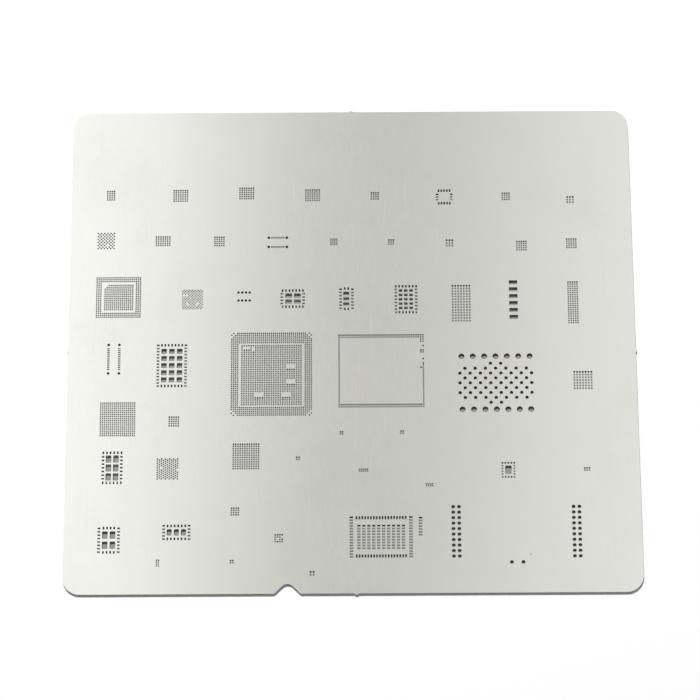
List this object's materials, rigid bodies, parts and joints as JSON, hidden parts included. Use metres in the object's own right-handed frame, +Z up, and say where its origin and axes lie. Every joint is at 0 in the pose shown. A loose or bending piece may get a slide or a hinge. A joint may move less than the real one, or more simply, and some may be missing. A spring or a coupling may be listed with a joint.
{
  "type": "solder paste stencil",
  "caption": "Thin rectangular stainless sheet with rounded corners, an edge notch and fields of fine cut-through apertures laid out as chip, connector and shield footprints.",
  "frame": {"origin": "centre of the sheet's underside, on the surface that it lies on", "axes": "+X along the sheet's width, +Y towards the edge opposite the notch, +Z up out of the printed face"},
  "size_m": [0.1004, 0.0894, 0.0001],
  "materials": {
    "stainless": "fine satin cold-rolled stainless sheet"
  },
  "bodies": {
    "root": {"stencil_sheet": "stainless"}
  },
  "joints": []
}
